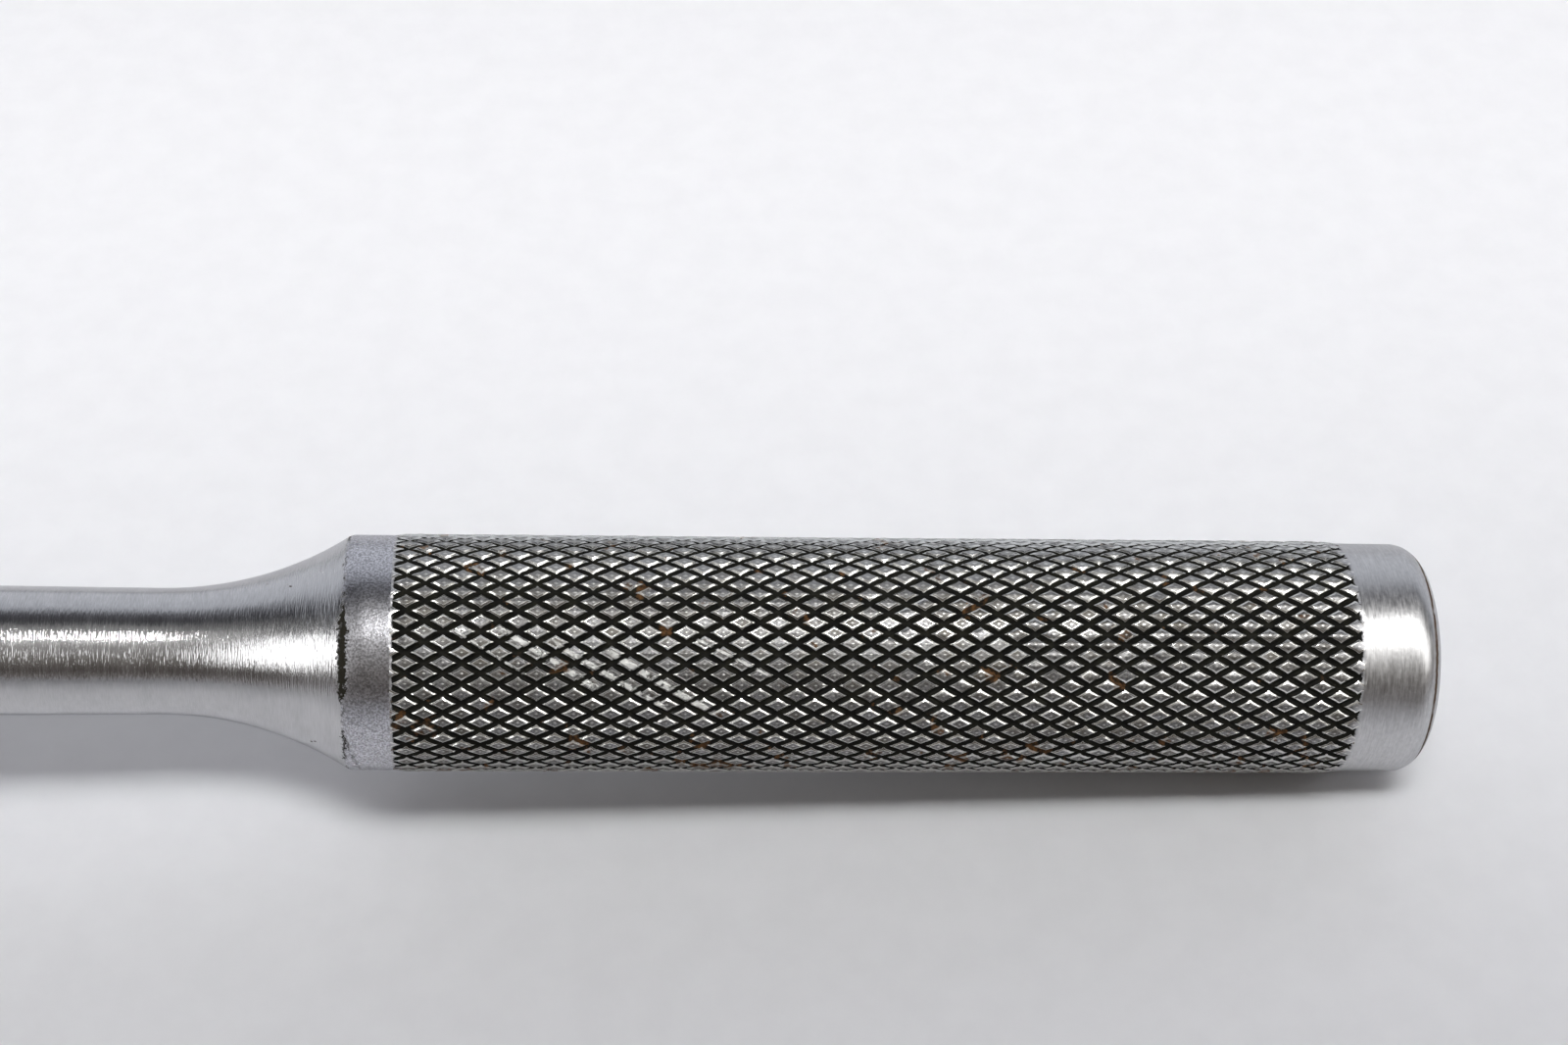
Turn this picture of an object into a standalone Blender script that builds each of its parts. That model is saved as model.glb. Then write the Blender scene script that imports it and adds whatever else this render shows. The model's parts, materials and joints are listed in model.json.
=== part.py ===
"""Breaker bar (flex handle) for 1/2 inch square drive sockets.

One forging makes the knurled grip, the tapered shank and the fork. The drive head swings
in the fork on a pivot pin that a small screw locks. A sprung ball in the fork gives the
swing its friction, and a sprung ball in the drive square holds the socket.

Frame: metres, +Z up. The origin is the centre of the drive square's end face. The head
stands upright on that face, and the bar runs towards +X, down to where its grip touches
the surface that the square stands on.
"""

import math

import bmesh
import bpy

MM = 0.001

# Driving dimensions. Distances along the bar are measured from the pivot.
OVERALL_LENGTH = 387.0 * MM  # 15 1/4 inch, with the head swung in line with the bar
GRIP_RADIUS = 11.11 * MM  # 7/8 inch over the crests of the knurling
DRIVE_SIZE = 12.65 * MM  # 1/2 inch male square, across its flats
HEAD_REACH = 36.0 * MM  # pivot to the end of the square

BAR_LENGTH = OVERALL_LENGTH - HEAD_REACH
ROUND_STEPS = 64  # facets round the bar
HOLE_STEPS = 48  # facets round a bore, and round what turns in it

# The grip and the flare that joins it to the shank, as shares of the grip's radius.
END_BAND = 0.715 * GRIP_RADIUS
END_ROUNDING = 0.30 * GRIP_RADIUS
END_BAND_RADIUS = 0.985 * GRIP_RADIUS
KNURL_LENGTH = 8.08 * GRIP_RADIUS
NECK_LENGTH = 0.39 * GRIP_RADIUS
NECK_RADIUS = 0.987 * GRIP_RADIUS
SEAM_CHAMFER = 0.045 * GRIP_RADIUS
FLARE_LIP_RADIUS = 0.968 * GRIP_RADIUS
FLARE_ARC_RADIUS = 2.86 * GRIP_RADIUS
SHANK_GRIP_RADIUS = 0.53 * GRIP_RADIUS
SHANK_FORK_RADIUS = 7.25 * MM

KNURL_END = BAR_LENGTH - END_BAND
KNURL_START = KNURL_END - KNURL_LENGTH
SEAM = KNURL_START - NECK_LENGTH

# The fork.
BULB_RADIUS = 14.6 * MM
BULB_END = 15.0 * MM
SHANK_START = 43.0 * MM
EAR_RADIUS = 13.0 * MM
FORK_WIDTH = 24.0 * MM
SLOT_WIDTH = 12.4 * MM
SLOT_FLOOR = 14.8 * MM
OUTLINE_SLOPE = math.radians(12.0)  # how the ears' outline falls towards the shank
OUTLINE_WAIST = 8.3 * MM
CUT_MARGIN = 6.0 * MM  # how far a cutter runs past what it cuts

# The drive head.
TONGUE_RADIUS = 12.0 * MM
TONGUE_WIDTH = 12.0 * MM
TONGUE_FOOT = 9.8 * MM  # half the tongue's breadth where it meets the collar
COLLAR_TOP = 13.6 * MM
COLLAR_DEPTH = 6.0 * MM
COLLAR_RADIUS = 12.5 * MM
COLLAR_CHAMFER = 0.9 * MM
SQUARE_CORNER = 1.1 * MM
SQUARE_TIP_CHAMFER = 1.0 * MM

# The pivot.
PIN_RADIUS = 4.0 * MM
PIN_BORE = 4.06 * MM
PIN_LENGTH = 23.6 * MM
LOCK_SCREW_RADIUS = 1.5 * MM
LOCK_SCREW_BORE = 1.62 * MM
LOCK_SCREW_LENGTH = 5.8 * MM
LOCK_SCREW_SLOT = 0.6 * MM
TOUCH_GAP = 0.3 * MM

# The sprung balls.
FRICTION_BALL_RADIUS = 3.175 * MM
FRICTION_BORE = 3.3 * MM
FRICTION_BORE_END = 31.0 * MM
FRICTION_BALL_AT = TONGUE_RADIUS + TOUCH_GAP + FRICTION_BALL_RADIUS
DRIVE_BALL_RADIUS = 2.38 * MM
DRIVE_BALL_OFFSET = 4.9 * MM  # the ball's centre from the square's axis
DRIVE_BALL_HEIGHT = 8.0 * MM  # the ball's centre above the square's end
DRIVE_BORE = 2.5 * MM
DRIVE_BORE_MOUTH = 2.22 * MM  # the staked lip that keeps the ball in
DRIVE_LIP_DEPTH = 0.4 * MM
DRIVE_BORE_END = 4.5 * MM


def grip_lean():
    """The angle at which the bar falls until the rounding of the grip's end touches z = 0."""
    along = BAR_LENGTH - END_ROUNDING
    across = END_BAND_RADIUS - END_ROUNDING
    drop = HEAD_REACH - END_ROUNDING
    return math.asin(drop / math.hypot(along, across)) - math.atan2(across, along)


def clear_scene():
    for obj in list(bpy.data.objects):
        bpy.data.objects.remove(obj, do_unlink=True)


def material(name, colour, roughness, metallic=1.0):
    made = bpy.data.materials.new(name)
    made.use_nodes = True
    shader = made.node_tree.nodes["Principled BSDF"]
    shader.inputs["Base Color"].default_value = (*colour, 1.0)
    shader.inputs["Roughness"].default_value = roughness
    shader.inputs["Metallic"].default_value = metallic
    return made


def frame(name, location, lean=0.0):
    """An empty that carries the pieces modelled round one point."""
    empty = bpy.data.objects.new(name, None)
    empty.location = location
    empty.rotation_euler = (0.0, lean, 0.0)
    bpy.context.scene.collection.objects.link(empty)
    return empty


def add_object(name, bm, parent, finish=None, at=(0.0, 0.0, 0.0)):
    """Makes an object of the mesh, shades its round faces smooth and frees the bmesh."""
    bmesh.ops.recalc_face_normals(bm, faces=bm.faces)
    mesh = bpy.data.meshes.new(name)
    bm.to_mesh(mesh)
    bm.free()
    mesh.shade_smooth()
    mesh.set_sharp_from_angle(angle=math.radians(35))
    obj = bpy.data.objects.new(name, mesh)
    obj.parent = parent
    obj.location = at
    if finish:
        mesh.materials.append(finish)
    bpy.context.scene.collection.objects.link(obj)
    return obj


def cutter(name, bm, parent, at=(0.0, 0.0, 0.0)):
    obj = add_object(name, bm, parent, at=at)
    obj.hide_render = True
    obj.display_type = "WIRE"
    return obj


def boolean(obj, other, operation):
    step = obj.modifiers.new(f"{operation.lower()} {other.name}", "BOOLEAN")
    step.object = other
    step.operation = operation
    step.solver = "EXACT"


def turned(profile, steps):
    """A solid turned about X from (x, radius) points. It starts and ends on the axis."""
    bm = bmesh.new()
    points = [(profile[0][0], 0.0), *profile, (profile[-1][0], 0.0)]
    verts = [bm.verts.new((x, 0.0, radius)) for x, radius in points]
    edges = [bm.edges.new(pair) for pair in zip(verts, verts[1:])]
    bmesh.ops.spin(
        bm, geom=verts + edges, axis=(1, 0, 0), cent=(0, 0, 0), angle=math.tau, steps=steps
    )
    bmesh.ops.remove_doubles(bm, verts=bm.verts, dist=1e-6)
    return bm


def aim(bm, axis):
    """Turns a mesh made along X to lie along another axis of its frame."""
    columns = {"X": (0, 1, 2), "Y": (1, 0, 2), "Z": (2, 1, 0)}[axis]
    for vert in bm.verts:
        vert.co = [vert.co[i] for i in columns]
    return bm


def rod(radius, start, end, axis, chamfer=0.0, steps=HOLE_STEPS):
    """A round bar along an axis, its ends chamfered where asked."""
    profile = [(start, radius), (end, radius)]
    if chamfer:
        profile = [
            (start, radius - chamfer),
            (start + chamfer, radius),
            (end - chamfer, radius),
            (end, radius - chamfer),
        ]
    return aim(turned(profile, steps), axis)


def block(low, high):
    bm = bmesh.new()
    bmesh.ops.create_cube(bm, size=1.0)
    for vert in bm.verts:
        vert.co = [
            near if side < 0 else far for side, near, far in zip(vert.co, low, high)
        ]
    return bm


def slab(outline, half_width):
    """A plate with an outline in X and Z, that runs from -half_width to half_width in Y."""
    bm = bmesh.new()
    face = bm.faces.new([bm.verts.new((x, -half_width, z)) for x, z in outline])
    grown = bmesh.ops.extrude_face_region(bm, geom=[face])["geom"]
    moved = [item for item in grown if isinstance(item, bmesh.types.BMVert)]
    bmesh.ops.translate(bm, verts=moved, vec=(0.0, 2.0 * half_width, 0.0))
    return bm


def arc(centre, radius, start_deg, end_deg, steps):
    """Points on a circle, both ends included."""
    angles = [start_deg + (end_deg - start_deg) * i / steps for i in range(steps + 1)]
    return [
        (
            centre[0] + radius * math.cos(math.radians(angle)),
            centre[1] + radius * math.sin(math.radians(angle)),
        )
        for angle in angles
    ]


def bar_profile():
    """The turned outline of the forging, from the fork's nose to the grip's end."""
    points = [(-BULB_RADIUS, BULB_RADIUS)]
    blend_steps = 10
    for i in range(blend_steps + 1):
        share = i / blend_steps
        ease = (1.0 + math.cos(math.pi * share)) / 2.0
        radius = SHANK_FORK_RADIUS + (BULB_RADIUS - SHANK_FORK_RADIUS) * ease
        points.append((BULB_END + (SHANK_START - BULB_END) * share, radius))
    # The flare is an arc that leaves the shank level and rises to the seam.
    rise = FLARE_LIP_RADIUS - SHANK_GRIP_RADIUS
    turn = math.degrees(math.acos(1.0 - rise / FLARE_ARC_RADIUS))
    root = SEAM - FLARE_ARC_RADIUS * math.sin(math.radians(turn))
    centre = (root, SHANK_GRIP_RADIUS + FLARE_ARC_RADIUS)
    points += arc(centre, FLARE_ARC_RADIUS, -90.0, turn - 90.0, 12)
    points += [
        (SEAM + SEAM_CHAMFER, NECK_RADIUS),
        (KNURL_START - SEAM_CHAMFER, NECK_RADIUS),
        (KNURL_START, GRIP_RADIUS),
        (KNURL_END, GRIP_RADIUS),
        (KNURL_END + SEAM_CHAMFER, END_BAND_RADIUS),
    ]
    corner = (BAR_LENGTH - END_ROUNDING, END_BAND_RADIUS - END_ROUNDING)
    points += arc(corner, END_ROUNDING, 90.0, 0.0, 8)
    return points


def fork_relief():
    """What is milled off round the ears: outside their round nose and sloping outline."""
    far = BULB_RADIUS + CUT_MARGIN
    end = SHANK_START
    slope = math.degrees(OUTLINE_SLOPE)
    drop = EAR_RADIUS - OUTLINE_WAIST * math.cos(OUTLINE_SLOPE)
    waist_at = drop / math.sin(OUTLINE_SLOPE)
    nose = arc((0.0, 0.0), EAR_RADIUS, slope - 90.0, -270.0 - slope, 40)
    outline = [(-far, -far), (end, -far), (end, -OUTLINE_WAIST), (waist_at, -OUTLINE_WAIST)]
    outline += nose
    outline += [(waist_at, OUTLINE_WAIST), (end, OUTLINE_WAIST), (end, far), (-far, far)]
    return slab(outline, far)


def make_handle_bar(bar, finish):
    obj = add_object("handle_bar", turned(bar_profile(), ROUND_STEPS), bar, finish)
    far = BULB_RADIUS + CUT_MARGIN
    half = FORK_WIDTH / 2.0
    slot_half = SLOT_WIDTH / 2.0
    screw_y = -(slot_half + half) / 2.0
    cuts = [
        cutter("cut_fork_outline", fork_relief(), bar),
        cutter("cut_flat_left", block((-far, half, -far), (SHANK_START, far, far)), bar),
        cutter("cut_flat_right", block((-far, -far, -far), (SHANK_START, -half, far)), bar),
        cutter(
            "cut_slot",
            block((-far, -slot_half, -far), (SLOT_FLOOR, slot_half, far)),
            bar,
        ),
        cutter("cut_pivot_bore", rod(PIN_BORE, -far, far, "Y"), bar),
        cutter(
            "cut_lock_screw_bore",
            rod(LOCK_SCREW_BORE, PIN_RADIUS - MM, far, "Z", steps=24),
            bar,
            at=(0.0, screw_y, 0.0),
        ),
        cutter(
            "cut_friction_bore",
            rod(FRICTION_BORE, SLOT_FLOOR - CUT_MARGIN, FRICTION_BORE_END, "X"),
            bar,
        ),
    ]
    for cut in cuts:
        boolean(obj, cut, "DIFFERENCE")
    return screw_y


def square_bar(top, bottom):
    """The drive square, hanging from top to bottom, its corners and its tip chamfered."""
    half = DRIVE_SIZE / 2.0
    bm = block((-half, -half, bottom), (half, half, top))
    upright = [e for e in bm.edges if abs(e.verts[0].co.z - e.verts[1].co.z) > half]
    bmesh.ops.bevel(
        bm, geom=upright, offset=SQUARE_CORNER, segments=3, profile=0.5, affect="EDGES"
    )
    tip = [e for e in bm.edges if all(abs(v.co.z - bottom) < 1e-6 for v in e.verts)]
    bmesh.ops.bevel(
        bm, geom=tip, offset=SQUARE_TIP_CHAMFER, segments=1, profile=0.5, affect="EDGES"
    )
    return bm


def make_drive_head(head, finish):
    """The head is modelled round its pivot, with the square pointing down."""
    join = 2.0 * MM  # how far the joined shapes run into one another
    foot = -COLLAR_TOP - join
    # The flanks leave the round rim as tangents and close in towards the collar.
    reach = math.hypot(TONGUE_FOOT, foot)
    start = math.degrees(math.atan2(foot, TONGUE_FOOT) + math.acos(TONGUE_RADIUS / reach))
    tongue = [(TONGUE_FOOT, foot)]
    tongue += arc((0.0, 0.0), TONGUE_RADIUS, start, 180.0 - start, 40)
    tongue += [(-TONGUE_FOOT, foot)]
    obj = add_object("drive_head", slab(tongue, TONGUE_WIDTH / 2.0), head, finish)
    collar_end = COLLAR_TOP + COLLAR_DEPTH
    collar = cutter(
        "join_collar",
        rod(COLLAR_RADIUS, -collar_end, -COLLAR_TOP, "Z", chamfer=COLLAR_CHAMFER),
        head,
    )
    square = cutter("join_square", square_bar(join - collar_end, -HEAD_REACH), head)
    flat = -DRIVE_SIZE / 2.0
    ball_at = (0.0, 0.0, DRIVE_BALL_HEIGHT - HEAD_REACH)
    lip = flat + DRIVE_LIP_DEPTH
    bore = cutter(
        "cut_drive_bore",
        turned(
            [
                (flat - CUT_MARGIN, DRIVE_BORE_MOUTH),
                (lip, DRIVE_BORE_MOUTH),
                (lip, DRIVE_BORE),
                (DRIVE_BORE_END, DRIVE_BORE),
            ],
            HOLE_STEPS,
        ),
        head,
        at=ball_at,
    )
    pivot = cutter("cut_head_pivot", rod(PIN_BORE, -TONGUE_RADIUS, TONGUE_RADIUS, "Y"), head)
    boolean(obj, collar, "UNION")
    boolean(obj, square, "UNION")
    boolean(obj, pivot, "DIFFERENCE")
    boolean(obj, bore, "DIFFERENCE")


def make_pivot_pin(bar, finish):
    half = PIN_LENGTH / 2.0
    add_object("pivot_pin", rod(PIN_RADIUS, -half, half, "Y", chamfer=0.4 * MM), bar, finish)


def make_lock_screw(bar, finish, y):
    """A slotted grub screw, with a cone point that stops just short of the pin."""
    start = PIN_RADIUS + TOUCH_GAP
    end = start + LOCK_SCREW_LENGTH
    point = [(start, LOCK_SCREW_RADIUS * 0.35), (start + 1.0 * MM, LOCK_SCREW_RADIUS)]
    head = [(end - 0.25 * MM, LOCK_SCREW_RADIUS), (end, LOCK_SCREW_RADIUS - 0.25 * MM)]
    obj = add_object(
        "pivot_lock_screw", aim(turned(point + head, 24), "Z"), bar, finish, at=(0, y, 0)
    )
    half = LOCK_SCREW_SLOT / 2.0
    slot = block((-CUT_MARGIN, -half, end - 0.9 * MM), (CUT_MARGIN, half, end + MM))
    boolean(obj, cutter("cut_screw_slot", slot, bar, at=(0, y, 0)), "DIFFERENCE")


def make_ball(name, radius, parent, finish, at):
    bm = bmesh.new()
    bmesh.ops.create_uvsphere(bm, u_segments=24, v_segments=14, radius=radius)
    add_object(name, bm, parent, finish, at=at)


def make_spring(name, start, end, coil_radius, wire_radius, turns, parent, finish, at):
    """A compression spring along X: round wire swept along a helix, its end turns closed."""
    sides, steps_per_turn, closed_turns = 8, 12, 1.0
    steps = int(turns * steps_per_turn)
    closed_pitch = 2.2 * wire_radius
    free_length = end - start - 2.0 * wire_radius - 2.0 * closed_turns * closed_pitch
    pitch = free_length / (turns - 2.0 * closed_turns)
    bm = bmesh.new()
    rings = []
    x = start + wire_radius
    for i in range(steps + 1):
        turn = i / steps_per_turn
        angle = math.tau * turn
        ring = []
        for k in range(sides):
            tilt = math.tau * k / sides
            radius = coil_radius + wire_radius * math.cos(tilt)
            ring.append(
                bm.verts.new(
                    (
                        x + wire_radius * math.sin(tilt),
                        radius * math.cos(angle),
                        radius * math.sin(angle),
                    )
                )
            )
        rings.append(ring)
        is_end = turn < closed_turns or turn >= turns - closed_turns
        x += (closed_pitch if is_end else pitch) / steps_per_turn
    for ring, following in zip(rings, rings[1:]):
        for k in range(sides):
            after = (k + 1) % sides
            bm.faces.new((ring[k], ring[after], following[after], following[k]))
    bm.faces.new(rings[0])
    bm.faces.new(rings[-1])
    add_object(name, bm, parent, finish, at=at)


def main():
    clear_scene()
    chrome = material("satin_chrome_bar", (0.60, 0.60, 0.61), 0.32)
    head_chrome = material("satin_chrome_head", (0.58, 0.58, 0.60), 0.26)
    pin_steel = material("ground_pin_steel", (0.50, 0.50, 0.51), 0.30)
    black_steel = material("blackened_screw_steel", (0.10, 0.10, 0.11), 0.45)
    ball_steel = material("polished_ball_steel", (0.68, 0.68, 0.70), 0.08)
    spring_steel = material("spring_steel", (0.36, 0.36, 0.38), 0.35)

    pivot = (0.0, 0.0, HEAD_REACH)
    bar = frame("bar_frame", pivot, grip_lean())
    head = frame("head_frame", pivot)

    screw_y = make_handle_bar(bar, chrome)
    make_drive_head(head, head_chrome)
    make_pivot_pin(bar, pin_steel)
    make_lock_screw(bar, black_steel, screw_y)

    make_ball("friction_ball", FRICTION_BALL_RADIUS, bar, ball_steel, (FRICTION_BALL_AT, 0, 0))
    make_spring(
        "friction_spring",
        FRICTION_BALL_AT + FRICTION_BALL_RADIUS + TOUCH_GAP,
        FRICTION_BORE_END - TOUCH_GAP,
        coil_radius=2.5 * MM,
        wire_radius=0.35 * MM,
        turns=7,
        parent=bar,
        finish=spring_steel,
        at=(0, 0, 0),
    )
    ball_z = DRIVE_BALL_HEIGHT - HEAD_REACH
    make_ball(
        "drive_ball", DRIVE_BALL_RADIUS, head, ball_steel, (-DRIVE_BALL_OFFSET, 0, ball_z)
    )
    make_spring(
        "drive_ball_spring",
        DRIVE_BALL_RADIUS - DRIVE_BALL_OFFSET + TOUCH_GAP,
        DRIVE_BORE_END - TOUCH_GAP,
        coil_radius=1.75 * MM,
        wire_radius=0.25 * MM,
        turns=6,
        parent=head,
        finish=spring_steel,
        at=(0, 0, ball_z),
    )


main()
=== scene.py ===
import json
import math

import bmesh
import bpy
import numpy as np
from mathutils import Matrix, Vector


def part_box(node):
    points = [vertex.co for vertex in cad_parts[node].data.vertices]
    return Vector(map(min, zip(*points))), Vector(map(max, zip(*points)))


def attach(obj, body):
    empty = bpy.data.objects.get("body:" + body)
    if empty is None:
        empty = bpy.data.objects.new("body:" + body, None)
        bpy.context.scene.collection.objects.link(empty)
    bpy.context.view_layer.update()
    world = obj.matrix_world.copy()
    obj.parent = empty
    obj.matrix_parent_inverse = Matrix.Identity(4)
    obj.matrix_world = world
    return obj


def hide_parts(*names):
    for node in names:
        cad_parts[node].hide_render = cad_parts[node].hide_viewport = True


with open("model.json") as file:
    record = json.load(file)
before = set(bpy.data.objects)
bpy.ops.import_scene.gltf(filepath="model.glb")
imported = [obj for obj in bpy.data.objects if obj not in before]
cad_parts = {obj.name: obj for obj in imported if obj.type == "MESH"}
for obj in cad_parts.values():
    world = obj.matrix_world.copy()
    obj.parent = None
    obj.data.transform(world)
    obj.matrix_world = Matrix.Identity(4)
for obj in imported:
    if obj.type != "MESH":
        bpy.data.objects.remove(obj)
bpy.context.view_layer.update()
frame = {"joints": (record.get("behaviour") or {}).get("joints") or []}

# ---------------------------------------------------------------------------------------
# The bar: one chrome-vanadium forging, turned, with a diamond knurl rolled into its grip.
# The shank and the flare are belt-ground and plated satin, the neck next to the knurling is
# left blasted, and the fork is milled out. Distances run along the bar from the pivot.
mm = 0.001
joints = {joint["name"]: joint for joint in frame["joints"]}
pivot = Vector(joints["head_swing"]["pos_m"])
bar_direction = Vector(joints["friction_ball_press"]["axis"])
bar_lean = math.atan2(-bar_direction.z, bar_direction.x)
bar_place = Matrix.Translation(pivot) @ Matrix.Rotation(bar_lean, 4, "Y")

grip_radius = 11.11 * mm
bar_length = 351.0 * mm
end_band = 0.715 * grip_radius
end_rounding = 0.23 * grip_radius
band_radius = 0.988 * grip_radius
neck_radius = 0.990 * grip_radius
neck_length = 0.39 * grip_radius
knurl_end = bar_length - end_band
knurl_start = knurl_end - 8.08 * grip_radius
seam = knurl_start - neck_length

# The knurl: two crossed sets of rolled grooves, one set of each hand.
knurl_starts = 36
helix_angle = math.radians(30.0)
pitch_round = math.tau * grip_radius / knurl_starts
pitch_along = 1.006 * pitch_round / math.tan(helix_angle)  # the blank grew as it was rolled
knurl_origin = knurl_start + 0.41 * pitch_along  # where the two sets of grooves cross
knurl_lines = (0.0, 0.14, 0.25, 0.5, 0.75, 0.86)  # mesh lines across one diamond
groove_depth = 0.32 * mm
groove_wall = 0.17 * mm  # the depth part of the way up a groove's side
groove_fade = 0.45 * mm  # the length over which a groove runs out at the grip's ends
crest_fade = 1.1 * mm  # the length over which the crests come down to the neck
plateau_sink = 0.055 * mm  # near the neck the diamonds have hollow tops
crown_rise = 0.08 * mm  # towards the end the roll bit deeper and they are full and pointed
full_from, full_at = knurl_start + 25.0 * mm, knurl_start + 70.0 * mm
tip_rise = 0.03 * mm
burr_jitter = 0.012 * mm  # how unevenly the roll left the lips
jitter_seed = 7

# One diamond is worn flat and bright: its place along and round, half its length and height.
worn_along, worn_round = knurl_start + 6.17 * mm, 2.089 * grip_radius
worn_half_length, worn_half_height = 0.75 * mm, 0.42 * mm

# Scrapes across the worn side of the grip: place along and round, slant, half width, reach.
scrapes = (
    (knurl_start + 14.5 * mm, 2.33 * grip_radius, 0.62, 0.42 * mm, 5.0 * mm),
    (knurl_start + 20.0 * mm, 2.47 * grip_radius, 0.60, 0.36 * mm, 6.0 * mm),
    (knurl_start + 24.5 * mm, 2.52 * grip_radius, 0.60, 0.46 * mm, 5.5 * mm),
    (knurl_start + 9.0 * mm, 2.27 * grip_radius, 0.62, 0.20 * mm, 3.5 * mm),
    (knurl_start + 31.0 * mm, 2.30 * grip_radius, 0.50, 0.20 * mm, 4.0 * mm),
)

ring_sides = 128
bore_sides = 64
shank_grip_radius = 0.53 * grip_radius
shank_fork_radius = 7.25 * mm
flare_lip = 0.975 * grip_radius
flare_arc = 2.86 * grip_radius
seam_bevel = 0.04 * grip_radius
seam_dark_side = 2.30  # the angle round the bar where the grime in the seam is thickest
grime_black = (0.018, 0.016, 0.010)

fork_nose = 13.0 * mm
fork_half_width = 12.0 * mm
fork_blend_start = 15.0 * mm
shank_start = 43.0 * mm
slot_half_width = 6.2 * mm
slot_floor = 14.8 * mm
fork_taper_deg = 12.0
fork_squareness = 7.0  # the power that squares off the fork's section
pin_bore = 4.06 * mm
pin_mouth = 0.5 * mm
screw_bore_radius = 1.62 * mm
screw_bore_low = 3.0 * mm  # inside the pin's bore
screw_y = -(slot_half_width + fork_half_width) / 2.0
friction_bore_radius = 3.3 * mm
friction_bore_end = 31.0 * mm
beyond = 2.0 * fork_nose  # past every face of the fork


def ease(share):
    """A smooth step from 0 to 1."""
    share = min(1.0, max(0.0, share))
    return share * share * (3.0 - 2.0 * share)


def arc_points(centre, radius, start_deg, end_deg, steps):
    """Points along an arc, both its ends among them."""
    angles = [
        math.radians(start_deg + (end_deg - start_deg) * i / steps)
        for i in range(steps + 1)
    ]
    return [
        (centre[0] + radius * math.cos(a), centre[1] + radius * math.sin(a)) for a in angles
    ]


def ring(bm, x, half_y, half_z, power=2.0):
    """A loop round the bar. A power of 2 makes it round and a higher one squares it off."""
    loop = []
    for i in range(ring_sides):
        angle = math.tau * i / ring_sides
        y, z = math.cos(angle), math.sin(angle)
        reach = (abs(y) ** power + abs(z) ** power) ** (-1.0 / power)
        loop.append(bm.verts.new((x, y * reach * half_y, z * reach * half_z)))
    return loop


def skin(bm, near, far, slot):
    """Faces between two loops of the same count."""
    count = len(near)
    for i in range(count):
        after = (i + 1) % count
        face = bm.faces.new((near[i], near[after], far[after], far[i]))
        face.material_index = slot


def turn_of(vert):
    """The angle of a vertex round the bar's axis."""
    return math.atan2(vert.co.z, vert.co.y) % math.tau


def zip_loops(bm, near, far, slot):
    """Triangles between two loops of different counts, both sorted round the axis."""
    near, far = sorted(near, key=turn_of), sorted(far, key=turn_of)
    near_turns = [turn_of(vert) for vert in near] + [turn_of(near[0]) + math.tau]
    far_turns = [turn_of(vert) for vert in far] + [turn_of(far[0]) + math.tau]
    i = j = 0
    while i < len(near) or j < len(far):
        a, b = near[i % len(near)], far[j % len(far)]
        step_near = j == len(far) or (i < len(near) and near_turns[i + 1] <= far_turns[j + 1])
        if step_near:
            i += 1
            third = near[i % len(near)]
        else:
            j += 1
            third = far[j % len(far)]
        face = bm.faces.new((a, third, b))
        face.material_index = slot


def knurl_height(part_a, part_b, x):
    """How far the surface stands from the crest's radius, at a place inside a diamond."""
    edge_a, edge_b = min(part_a, 1.0 - part_a), min(part_b, 1.0 - part_b)
    edge = min(edge_a, edge_b)
    if edge < 0.05:
        return -groove_depth
    if edge < 0.2:
        height = -groove_wall
    elif edge < 0.3:
        height = 0.0
    else:
        fullness = ease((x - full_from) / (full_at - full_from))
        return -plateau_sink + (plateau_sink + crown_rise) * fullness
    is_acute_tip = abs(part_a - part_b) < 0.3 and max(edge_a, edge_b) < 0.3
    return height + (tip_rise if is_acute_tip else 0.0)


def knurl_lattice(bm):
    """The knurled skin as a closed tube of crossed mesh lines, trimmed to the grip's ends."""
    lines = len(knurl_lines)
    rows = knurl_starts * lines
    columns = int(2 * lines * (knurl_end - knurl_start) / pitch_along) + 4 * lines
    random = np.random.default_rng(jitter_seed)
    jitter = random.normal(0.0, burr_jitter, (rows, columns))
    grid = []
    for row in range(rows):
        whole_a, line_a = divmod(row, lines)
        part_a = knurl_lines[line_a]
        verts = []
        for column in range(columns):
            whole_b, line_b = divmod(column - row, lines)
            part_b = knurl_lines[line_b]
            a, b = whole_a + part_a, whole_b + part_b
            x = knurl_origin + (a + b - 2.0) * pitch_along / 2.0
            angle = (a - b) * math.pi / knurl_starts
            height = knurl_height(part_a, part_b, x)
            height += jitter[row, column] if height > -groove_depth else 0.0
            radius = grip_radius + height
            verts.append(bm.verts.new((x, radius * math.cos(angle), radius * math.sin(angle))))
        grid.append(verts)
    for row in range(rows):
        here = grid[row]
        after = grid[(row + 1) % rows]
        for column in range(columns - 2):
            face = bm.faces.new(
                (here[column], after[column + 1], after[column + 2], here[column + 1])
            )
            face.material_index = 1
    for x, outward in ((knurl_start, -1.0), (knurl_end, 1.0)):
        bmesh.ops.bisect_plane(
            bm,
            geom=bm.verts[:] + bm.edges[:] + bm.faces[:],
            dist=1e-6,
            plane_co=(x, 0, 0),
            plane_no=(outward, 0, 0),
            clear_outer=True,
        )
    for vert in bm.verts:
        x, y, z = vert.co
        near_end = min(x - knurl_start, knurl_end - x)
        radius = math.hypot(y, z)
        kept = ease(near_end / (groove_fade if radius < neck_radius else crest_fade))
        faded = neck_radius + (radius - neck_radius) * kept
        vert.co.y *= faded / radius
        vert.co.z *= faded / radius
    rims = {vert for edge in bm.edges if edge.is_boundary for vert in edge.verts}
    middle = (knurl_start + knurl_end) / 2.0
    return [v for v in rims if v.co.x < middle], [v for v in rims if v.co.x > middle]


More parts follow.
